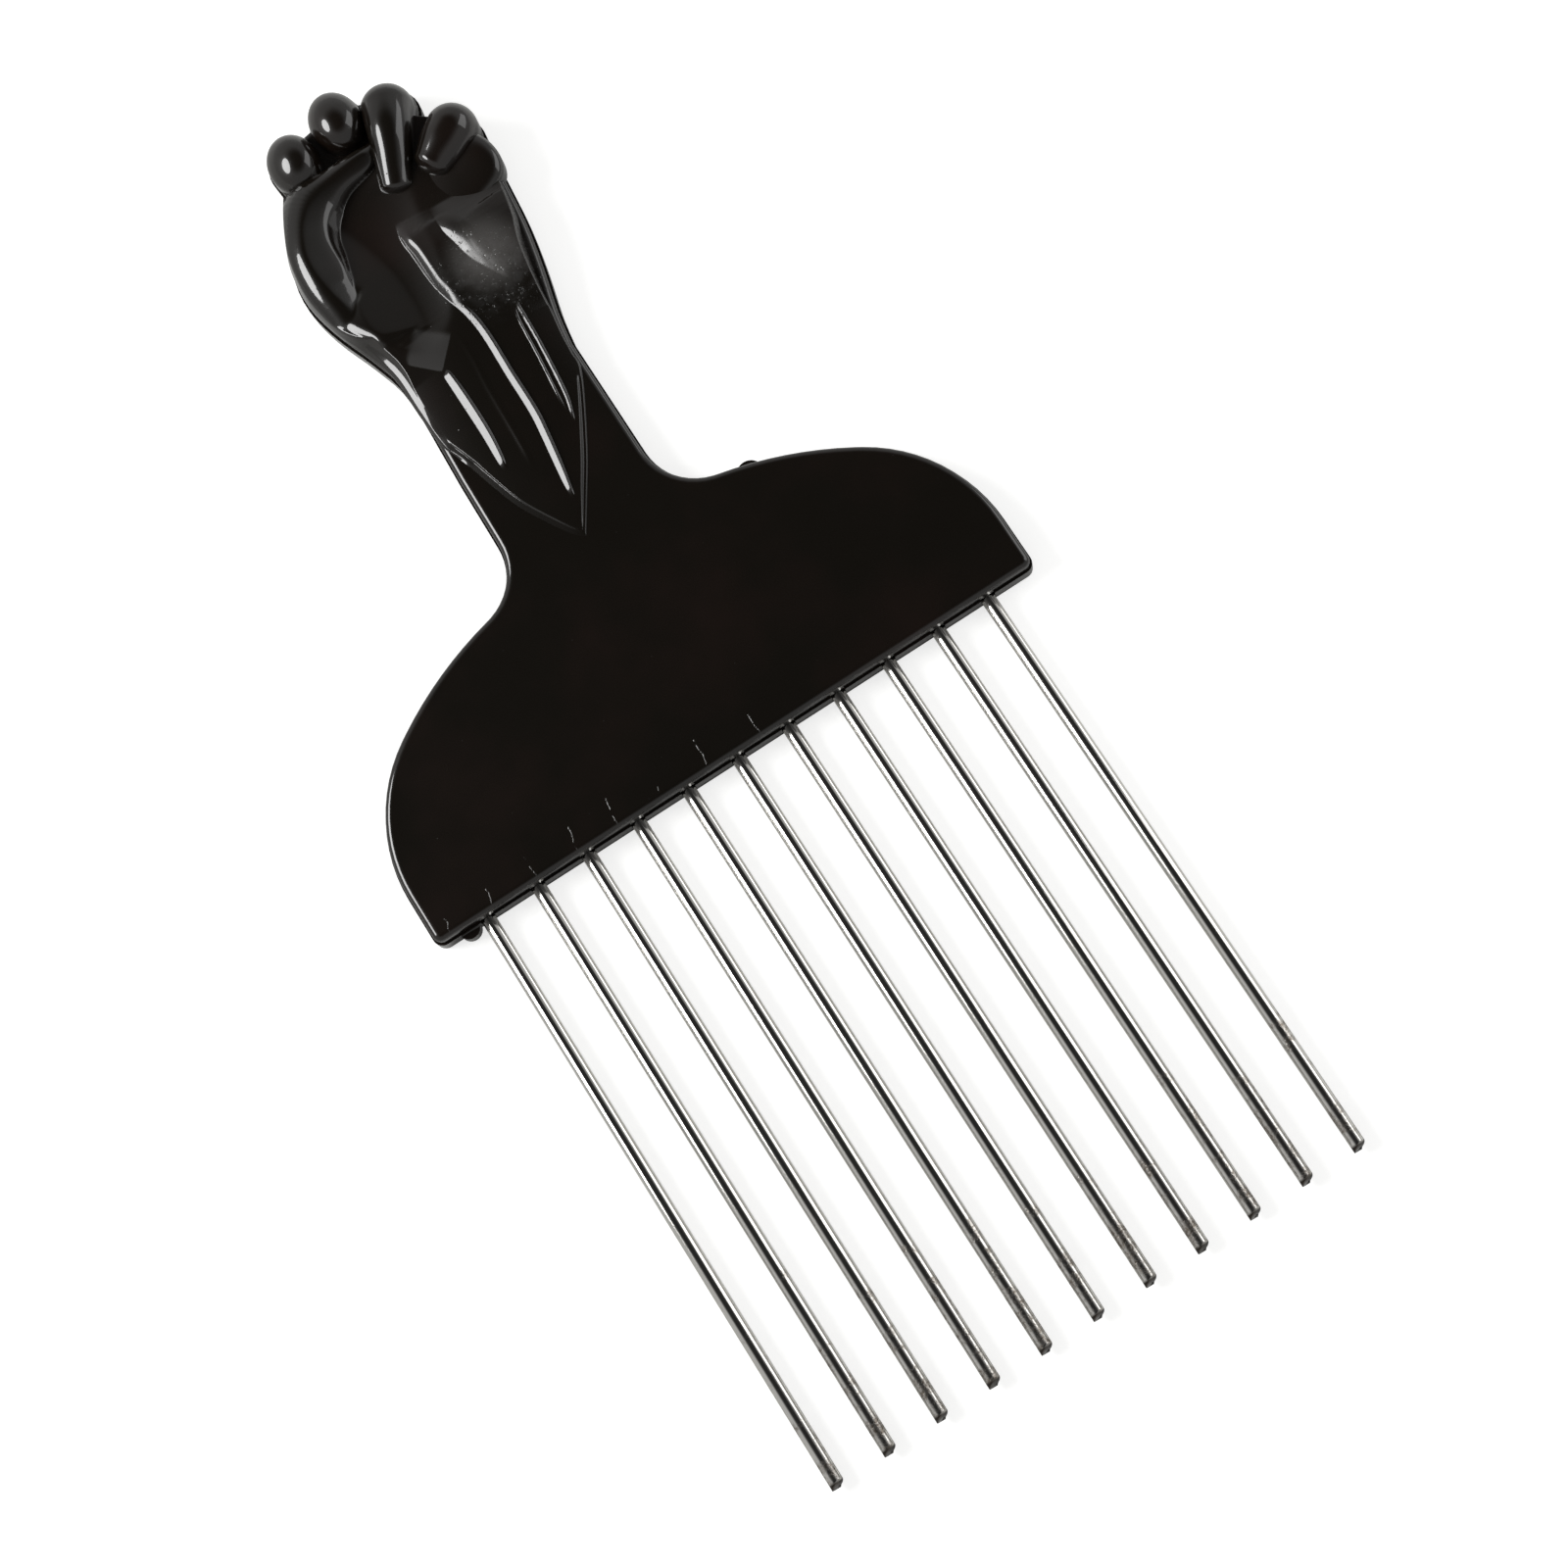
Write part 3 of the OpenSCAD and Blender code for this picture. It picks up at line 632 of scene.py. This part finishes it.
palmValues = {
    "rows": 290, "columns": 262, "foot": 2.7,
    "rowStops": [(0, 0), (0.30, 0.42), (0.76, 0.86), (1, 1)],    # share of the rows, share of the length
    "leftEdge": [(-0.95, 32.55), (-2.19, 33.6), (-4.05, 36.6), (-6.0, 40.4), (-7.29, 44.25), (-8.7, 49.35),
                 (-9.7, 52.6), (-10.0, 57.6), (-10.05, 62.1), (-10.6, 65.1), (-11.6, 68.1), (-12.85, 71.1),
                 (-13.72, 74.1), (-14.23, 77.1), (-14.08, 80.1), (-13.5, 83.1), (-12.3, 86.1), (-10.8, 89.1),
                 (-9.9, 90.6)],
    "rightEdge": [(-0.95, 32.55), (1.95, 37.05), (5.1, 42.1), (9.36, 50.25), (9.8, 53.4), (10.0, 55.8),
                  (10.5, 59.1), (11.0, 62.8), (12.1, 68.35), (13.3, 72.4), (14.1, 78.2), (14.5, 81.6),
                  (14.5, 84.5), (12.5, 88), (9.5, 90.6)],
    # the crest along the middle: Y, height; the radius across it grows over handBlend mm from handStart
    "crest": [(31.2, 4.25), (38.1, 4.7), (45.9, 5.2), (56.1, 5.95), (66, 6.5), (72.9, 6.3), (80.1, 5.8),
              (98, 5.6)],
    "backRadius": 40, "handStart": 60, "handBlend": 8, "handFlatter": 2.2,
    # the flank along Y: first slope, how far in it runs, second slope, how far in it runs, last slope
    "flankLeft": [(30, 0.27, 0.5, 0.27, 0.9, 2), (48, 0.27, 0.5, 0.27, 0.9, 2), (51, 1.0, 0.2, 0.3, 0.8, 1.6),
                  (54, 1.6, 0.35, 0.47, 1.1, 1.6), (64, 1.6, 0.4, 0.47, 1.1, 1.6),
                  (68, 1.4, 0.5, 1.0, 1.0, 1.4), (73, 5, 0.5, 5, 1.0, 5)],
    "flankRight": [(30, 1.2, 0.14, 0.1, 0.45, 1.2), (50, 1.2, 0.2, 0.1, 0.55, 1.2), (56, 5, 0.5, 5, 1.0, 5),
                   (90, 6, 1, 6, 2, 6)],
    "flankFoot": 4.15,
    # how softly each flank runs into the top: Y, then mm
    "softLeft": [(50, 0.03), (56, 0.06), (66, 0.06), (70, 0.22)], "softRight": [(50, 0.03), (56, 0.08)],
    # heel of the hand and the crease at the wrist: X, Y, radius, top
    "heel": [(2.6, 89.3, 1.4, 6.1), (0.9, 89.0, 1.8, 6.6), (-3.2, 88.5, 2.3, 6.9), (-6.8, 87.5, 4.2, 7.4),
             (-9.0, 85.0, 4.0, 7.8), (-10.4, 81.5, 4.0, 8.1), (-10.9, 77.7, 3.6, 7.9),
             (-10.8, 74.2, 3.2, 7.1), (-10.7, 71.5, 2.8, 6.2), (-10.2, 68.5, 2.2, 5.4)],
    "crease": [(-11.3, 73.0, 1.3, 5.8), (-10.9, 72.0, 1.6, 6.15), (-10.1, 70.6, 1.9, 6.45),
               (-9.0, 68.9, 2.0, 6.65), (-8.5, 67.2, 1.7, 6.6), (-8.2, 65.6, 1.0, 6.0)],
    # the crease's right side is a plane: a point of it, then its fall along X, along Y and past its end
    "creasePlane": (-9.0, 69.0, 6.62), "creaseFall": (0.2, 0.1, 1.2),
    # the band on the heel's inner side: its upper edge with heights, its lower edge, and the two slopes
    "bandTop": [(2.8, 88.4, 5.9), (1.2, 88.2, 6.2), (-3.2, 87.4, 6.6), (-5.9, 86.4, 6.9), (-7.6, 84.8, 7.1),
                (-8.8, 82.7, 7.3), (-9.6, 80.5, 7.4), (-10.0, 77.1, 7.3), (-9.8, 75.2, 6.9),
                (-9.2, 73.4, 6.3), (-8.6, 71.5, 5.6)],
    "bandLow": [(2.8, 87.2), (1.2, 87.0), (-2.4, 86.5), (-5.0, 85.6), (-6.6, 84.1), (-7.4, 82.5),
                (-7.7, 80.9), (-7.8, 78.2), (-8.2, 75.5), (-8.5, 73.4), (-8.6, 71.5)],
    "bandSlope": 0.42, "wallSlope": 1.3, "rollEnd": 2.5,
    # the hollow of the palm: Y, height of its floor and how fast it bends up to its right; hollowLeft is how
    # many times faster it does so to its left
    "hollow": [(58, 9.0, 0), (61.0, 6.9, 0.02), (64.5, 5.95, 0.025), (69, 5.3, 0.025), (75, 4.8, 0.02),
               (81, 4.6, 0.014), (86, 4.55, 0.012), (92, 4.55, 0.012)],
    "hollowMiddle": -5.0, "hollowLeft": 2.4,
    # banks rise from a crease on their left: how far they take to fade, then X, Y, height, width
    "banks": [
        (5.5, [(0.1, 79.6, 0.0, 1.0), (-0.35, 77.2, 0.45, 1.2), (-0.2, 74.9, 0.55, 1.4),
               (-0.1, 71.6, 0.5, 1.3), (0.1, 69.2, 0.45, 1.2), (0.7, 66.3, 0.5, 1.4), (1.3, 63.9, 0.22, 1.4),
               (1.5, 62.2, 0.0, 1.2), (1.5, 60, 0.0, 1.2)]),
        (9, [(4.6, 78.6, 0.0, 2.0), (4.5, 76.1, 0.6, 2.4), (4.6, 74.5, 0.85, 2.7), (5.0, 72.8, 1.0, 2.8),
             (5.4, 70.8, 1.05, 2.7), (6.2, 68.6, 0.95, 2.5), (7.65, 65.9, 0.65, 2.2), (8.6, 64.2, 0.25, 2.0),
             (9.2, 62.5, 0.0, 2.0)]),
    ],
    # tendons: X, Y, height, half width of the lit side; the profile is half widths and shares of the height
    "tendons": [
        [(-4.65, 59.2, 0.0, 0.36), (-4.5, 58.5, 0.3, 0.4), (-4.4, 55, 0.36, 0.46), (-4.4, 50.3, 0.34, 0.44),
         (-4.65, 46.6, 0.24, 0.34), (-4.8, 45.2, 0.0, 0.2)],
        [(1.25, 65.6, 0.0, 0.3), (1.65, 63.9, 0.2, 0.36), (1.92, 62.0, 0.36, 0.38), (2.0, 59.3, 0.38, 0.38),
         (1.87, 54.9, 0.4, 0.38), (1.82, 49.3, 0.42, 0.39), (1.46, 46, 0.4, 0.38), (0.84, 41.7, 0.34, 0.35),
         (0.43, 39, 0.24, 0.26), (0.35, 37.5, 0.0, 0.18)],
        [(7.0, 62.0, 0.0, 0.12), (6.4, 60.2, 0.13, 0.12), (5.95, 54.9, 0.14, 0.13), (5.35, 49.3, 0.13, 0.12),
         (5.15, 46.8, 0.0, 0.1)],
        [(7.3, 62.2, 0.0, 0.14), (7.2, 61, 0.19, 0.17), (6.93, 56, 0.21, 0.19), (6.25, 49.3, 0.20, 0.18),
         (5.6, 46.6, 0.14, 0.14), (5.4, 45.6, 0.0, 0.1)],
    ],
    "tendonProfile": [(-1.1, 0), (0.95, 1), (1.15, 0.97), (1.7, 0)], "tendonLeast": 0.05,
    # a fifth tendon hardly shows: X, Y, height
    "faint": [(-0.9, 63.2, 0.0), (-0.7, 59.3, 0.05), (-1.1, 54.9, 0.07), (-1.3, 50, 0.09), (-1.5, 46, 0.09),
              (-1.75, 43.5, 0.0)],
    "faintWidth": 0.35,
    # how softly shapes run into each other
    "blend": {"hollow": 0.2, "bandFoot": 0.35, "band": 0.14, "heel": 0.12, "crestOfCrease": 0.06,
              "crease": 0.12},
    "smoothAngle": 85,
}


def smoothThrough(points, steps):
    # a smooth curve through the points, with steps between two of them
    p = np.array(points, float)
    p = np.vstack([2 * p[0] - p[1], p, 2 * p[-1] - p[-2]])
    out = []
    for a, b, c, d in zip(p, p[1:], p[2:], p[3:]):
        for t in np.arange(steps) / steps:
            bend = (2 * a - 5 * b + 4 * c - d) * t * t + (3 * b - a - 3 * c + d) * t ** 3
            out.append((2 * b + (c - a) * t + bend) / 2)
    return np.array(out + [p[-2]])


def readAlong(y, rows, column=1):
    # a value that changes along Y, from rows that begin with their Y
    return np.interp(y, [row[0] for row in rows], [row[column] for row in rows])


def beside(x, y, path):
    # how far each point lies from the path, plus on its left as it runs, and the path's own values there
    nearest = np.full(x.shape, np.inf)
    offset = np.zeros(x.shape)
    carried = np.zeros(x.shape + (path.shape[1] - 2,))
    for a, b in zip(path, path[1:]):
        dx, dy = b[0] - a[0], b[1] - a[1]
        t = np.clip(((x - a[0]) * dx + (y - a[1]) * dy) / (dx * dx + dy * dy), 0, 1)
        px, py = x - a[0] - t * dx, y - a[1] - t * dy
        distance = np.hypot(px, py)
        closer = distance < nearest
        nearest = np.where(closer, distance, nearest)
        offset = np.where(closer, np.where(dx * py - dy * px > 0, distance, -distance), offset)
        carried = np.where(closer[..., None], a[2:] + t[..., None] * (b[2:] - a[2:]), carried)
    return offset, [carried[..., i] for i in range(carried.shape[-1])]


def softMax(a, b, k):
    # the larger of the two, with the corner where they cross rounded over k; softMin is its mirror image
    return (a + b + np.sqrt((a - b) ** 2 + k * k)) / 2


def softMin(a, b, k):
    return (a + b - np.sqrt((a - b) ** 2 + k * k)) / 2


def rollOver(u, radius, top, end):
    # a round back of that radius, then a steep end past it
    back = top - radius + np.sqrt(np.maximum(radius ** 2 - u ** 2, 0))
    return back - end * np.maximum(np.abs(u) - radius, 0)


def bank(u, width, height):
    # nothing left of the crease, then a rise that levels off over its width
    t = np.clip(u / width, 0, 1)
    return height * (1 - (1 - t) ** 2)


def withTendons(h, x, y, v):
    for tendon in v["tendons"]:
        u, (rise, half) = beside(x, y, smoothThrough(tendon, steps=4))
        h = h + np.maximum(rise, 0) * readAlong(u / np.maximum(half, v["tendonLeast"]), v["tendonProfile"])
    u, (rise,) = beside(x, y, smoothThrough(v["faint"], steps=4))
    return h + rise * np.exp(-(u / v["faintWidth"]) ** 2)


def palmHeight(x, y, left, right, v):
    blend = v["blend"]
    hand = np.clip((y - v["handStart"]) / v["handBlend"], 0, 1)
    across = 2 * v["backRadius"] * (1 + v["handFlatter"] * hand)
    h = readAlong(y, smoothThrough(v["crest"], steps=6)) - x * x / across

    # hollow and the banks of the palm
    deep = smoothThrough(v["hollow"], steps=5)
    bend = readAlong(y, deep, 2) * np.where(x < v["hollowMiddle"], v["hollowLeft"], 1)
    h = softMin(h, readAlong(y, deep) + bend * (x - v["hollowMiddle"]) ** 2, blend["hollow"])
    for fadeOver, path in v["banks"]:
        u, (rise, width) = beside(x, y, smoothThrough(path, steps=5))
        fade = np.clip(1 - (u - width) / fadeOver, 0, 1)
        h = h + np.where(u > 0, bank(u, width, rise) * fade, 0)
    h = withTendons(h, x, y, v)

    # heel, with the band on its inner side
    bandU, (bandHigh,) = beside(x, y, smoothThrough(v["bandTop"], steps=6))
    lowU, _ = beside(x, y, smoothThrough(v["bandLow"], steps=6))
    band = bandHigh - v["bandSlope"] * bandU - v["wallSlope"] * softMax(lowU, 0, blend["bandFoot"])
    u, (radius, top) = beside(x, y, smoothThrough(v["heel"], steps=6))
    heel = rollOver(u, radius, top, v["rollEnd"])
    h = softMax(h, softMin(heel, band, blend["band"]), blend["heel"])

    # the crease at the wrist: a lit side on the left, a gentle fall on the right
    u, (radius, top) = beside(x, y, smoothThrough(v["crease"], steps=6))
    lit = rollOver(np.minimum(u, 0), radius, top, v["rollEnd"])
    (overX, overY, over), (fallX, fallY, fallEnd) = v["creasePlane"], v["creaseFall"]
    pastEnd = np.maximum(v["crease"][-1][1] - y, 0)
    fall = over - fallX * (x - overX) - fallY * (y - overY) - fallEnd * pastEnd
    h = softMax(h, softMin(lit, fall, blend["crestOfCrease"]), blend["crease"])

    # the flank along the relief's own edge, with the edge's lean read over a short step
    step = 0.5
    for edge, slopes, softness, way in ((left, v["flankLeft"], v["softLeft"], 1),
                                        (right, v["flankRight"], v["softRight"], -1)):
        lean = (readAlong(y + step, edge[:, ::-1]) - readAlong(y - step, edge[:, ::-1])) / (2 * step)
        inward = np.maximum(way * (x - readAlong(y, edge[:, ::-1])) / np.hypot(1, lean), 0)
        first, turn, second, end, last = [readAlong(y, slopes, i) for i in range(1, 6)]
        flank = (v["flankFoot"] + first * np.minimum(inward, turn)
                 + second * np.clip(inward - turn, 0, end - turn) + last * np.maximum(inward - end, 0))
        h = softMin(h, flank, readAlong(y, softness))
    return h


def makePalm(v):
    bpy.ops.object.select_all(action="DESELECT")
    bpy.ops.mesh.primitive_grid_add(x_subdivisions=v["columns"], y_subdivisions=v["rows"], size=1,
                                    location=(0, 0, 0))
    palm = bpy.context.object
    palm.name = "palm"
    mesh = palm.data
    flat = np.zeros(len(mesh.vertices) * 3)
    mesh.vertices.foreach_get("co", flat)
    # the grid's corners are at half a unit, so these are shares of the way across and along
    across, along = flat[0::3] + 0.5, flat[1::3] + 0.5
    left, right = smoothThrough(v["leftEdge"], steps=8), smoothThrough(v["rightEdge"], steps=8)
    y = left[0, 1] + readAlong(along, v["rowStops"]) * (left[-1, 1] - left[0, 1])
    x = (1 - across) * readAlong(y, left[:, ::-1]) + across * readAlong(y, right[:, ::-1])
    z = palmHeight(x, y, left, right, v)
    mesh.vertices.foreach_set("co", np.stack([x * mm, y * mm + pinEdge, z * mm], axis=1).ravel())
    mesh.update()
    # a skirt down into the plate, closed underneath
    bpy.ops.object.mode_set(mode="EDIT")
    bpy.ops.mesh.select_mode(type="EDGE")
    bpy.ops.mesh.select_all(action="DESELECT")
    bpy.ops.mesh.select_non_manifold()
    bpy.ops.mesh.extrude_region_move(TRANSFORM_OT_translate={"value": (0, 0, -mm)})
    bpy.ops.object.mode_set(mode="OBJECT")
    for vertex in mesh.vertices:
        if vertex.select:
            vertex.co.z = v["foot"] * mm
    bpy.ops.object.mode_set(mode="EDIT")
    bpy.ops.mesh.edge_face_add()
    facesOut()
    bpy.ops.object.shade_smooth_by_angle(angle=math.radians(v["smoothAngle"]))
    return palm


palm = makePalm(palmValues)
print("palm carved:", len(palm.data.vertices), "points")


# fingers: balls reshaped point by point, with straight sides under their middle, as the mould draws them

fingerValues = {
    "segments": 56, "rings": 44, "foot": 2.7,
    # long fingers follow a line: X, Y, radius, top
    "chains": {
        "middle": [(7.0, 93.0, 3.4, 8.35), (6.0, 90.4, 2.95, 8.85), (4.9, 87.9, 2.6, 8.15),
                   (3.75, 85.6, 2.35, 7.35), (3.0, 84.0, 2.2, 6.85)],
        "index": [(12.3, 85.9, 3.35, 8.9), (10.4, 84.8, 3.2, 8.7), (8.1, 83.5, 2.5, 8.0)],
    },
    # each round end's share of the rings, how blunt the lower end is, how soon the sides reach the foot
    "capShare": 0.38, "blunt": 0.55, "sideSink": 0.9, "lookAhead": 0.3,
    # knuckles: place, radius, stretch towards the palm, top, lean of the top in X and Y
    "balls": {
        "little": [(-6.3, 94.4), 3.35, 1.22, 7.9, 0.20, -0.08],
        "ring": [(0.85, 96.05), 3.35, 1.25, 8.4, 0.03, -0.12],
    },
    # place, half width, half length, turn, base, top, how square its left and right ends are, lean in X
    "lobes": {"indexTip": [(10.0, 80.6), 5.6, 4.4, 10, 4.9, 6.15, 0.7, 0.5, 0.175]},
    "lobeCrown": 0.8,
    # knuckles and lobe: how far out the straight wall begins and how soon it reaches the foot
    "wallFrom": 0.3, "wallSink": 0.95,
}


def putBall(name, reshape):
    v = fingerValues
    bpy.ops.object.select_all(action="DESELECT")
    bpy.ops.mesh.primitive_uv_sphere_add(segments=v["segments"], ring_count=v["rings"], radius=1,
                                         location=(0, 0, 0))
    ball = bpy.context.object
    ball.name = name
    mesh = ball.data
    co = np.zeros(len(mesh.vertices) * 3)
    mesh.vertices.foreach_get("co", co)
    p = reshape(co.reshape(-1, 3)) * mm
    p[:, 1] += pinEdge
    mesh.vertices.foreach_set("co", p.ravel())
    mesh.update()
    bpy.ops.object.mode_set(mode="EDIT")
    facesOut()
    bpy.ops.object.shade_smooth()
    return ball


def makeFinger(name, chain):
    v = fingerValues
    spine = smoothThrough([(x, y, top - r, r) for x, y, r, top in chain], steps=10)
    lengths = np.concatenate([[0], np.cumsum(np.linalg.norm(np.diff(spine[:, :3], axis=0), axis=1))])
    total = lengths[-1]

    def onSpine(s, count):
        return np.stack([np.interp(s, lengths, spine[:, i]) for i in range(count)], axis=1)

    def reshape(co):
        # the ball's axis becomes the finger's: capShare of the rings for each round end, the rest between
        share = np.arccos(np.clip(co[:, 2], -1, 1)) / math.pi
        turn = np.arctan2(co[:, 1], co[:, 0])
        bend = np.radians(np.clip(np.minimum(share, 1 - share) / v["capShare"], 0, 1) * 90)
        s = np.clip((share - v["capShare"]) / (1 - 2 * v["capShare"]), 0, 1) * total
        at = onSpine(s, 4)
        ahead = (onSpine(np.clip(s + v["lookAhead"], 0, total), 3)
                 - onSpine(np.clip(s - v["lookAhead"], 0, total), 3))
        ahead /= np.linalg.norm(ahead, axis=1)[:, None]
        side = np.cross(ahead, [0, 0, 1])
        side /= np.linalg.norm(side, axis=1)[:, None]
        up = np.cross(side, ahead)
        out = np.sin(bend) * at[:, 3]
        push = np.where(share < 0.5, -1, v["blunt"]) * np.cos(bend) * at[:, 3]
        low = np.sin(turn) < 0
        sink = np.clip(-np.sin(turn) / v["sideSink"], 0, 1)
        sides = np.where(sink < 1, np.sign(np.cos(turn)), np.cos(turn))
        wide = out * np.where(low, sides, np.cos(turn))
        high = out * np.maximum(np.sin(turn), 0)
        p = at[:, :3] + ahead * push[:, None] + side * wide[:, None] + up * high[:, None]
        p[:, 2] = np.where(low, p[:, 2] * (1 - sink) + v["foot"] * sink, p[:, 2])
        return p

    return putBall(name, reshape)


def opened(co):
    # the unit ball with its lower half opened out to a straight wall, and each point's share of the way
    # down to the foot
    v = fingerValues
    flat = np.hypot(co[:, 0], co[:, 1])
    low = co[:, 2] < 0
    grow = np.where(low & (flat > v["wallFrom"]), 1 / np.maximum(flat, v["wallFrom"]), 1)
    sink = np.where(low, np.minimum(-co[:, 2] / v["wallSink"], 1), 0)
    return co[:, 0] * grow, co[:, 1] * grow, np.maximum(co[:, 2], 0), sink


def makeBall(name, place, radius, long, top, leanX, leanY):
    def reshape(co):
        x, y, z, sink = opened(co)
        x, y = x * radius, (y - 1) * radius * long + radius
        z = top - radius + z * (radius + leanX * x + leanY * (y + (long - 1) * radius))
        return np.stack([place[0] + x, place[1] + y, z * (1 - sink) + fingerValues["foot"] * sink], axis=1)

    return putBall(name, reshape)


def makeLobe(name, place, halfWide, halfLong, turn, base, top, squareLeft, squareRight, leanX):
    def reshape(co):
        x, y, z, sink = opened(co)
        x = np.sign(x) * np.abs(x) ** np.where(x < 0, squareLeft, squareRight) * halfWide
        y = y * halfLong
        a = math.radians(turn)
        z = base + z ** fingerValues["lobeCrown"] * (top - base + leanX * x)
        return np.stack([place[0] + x * math.cos(a) - y * math.sin(a),
                         place[1] + x * math.sin(a) + y * math.cos(a),
                         z * (1 - sink) + fingerValues["foot"] * sink], axis=1)

    return putBall(name, reshape)


fingers = [makeFinger(name, chain) for name, chain in fingerValues["chains"].items()]
fingers += [makeBall(name, *shape) for name, shape in fingerValues["balls"].items()]
fingers += [makeLobe(name, *shape) for name, shape in fingerValues["lobes"].items()]
print("fingers shaped:", len(fingers))

# the front half is one moulding: plate, palm and fingers joined
pickOnly(plate)
bpy.ops.object.shade_smooth_by_angle(angle=math.radians(plateValues["smoothAngle"]))
for part in [palm] + fingers:
    part.select_set(True)
bpy.ops.object.join()
frontHalf = bpy.context.object
frontHalf.data.materials.clear()
frontHalf.data.materials.append(plastic)
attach(frontHalf, "root")
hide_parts("front_half")
print("front half joined:", len(frontHalf.data.polygons), "faces")
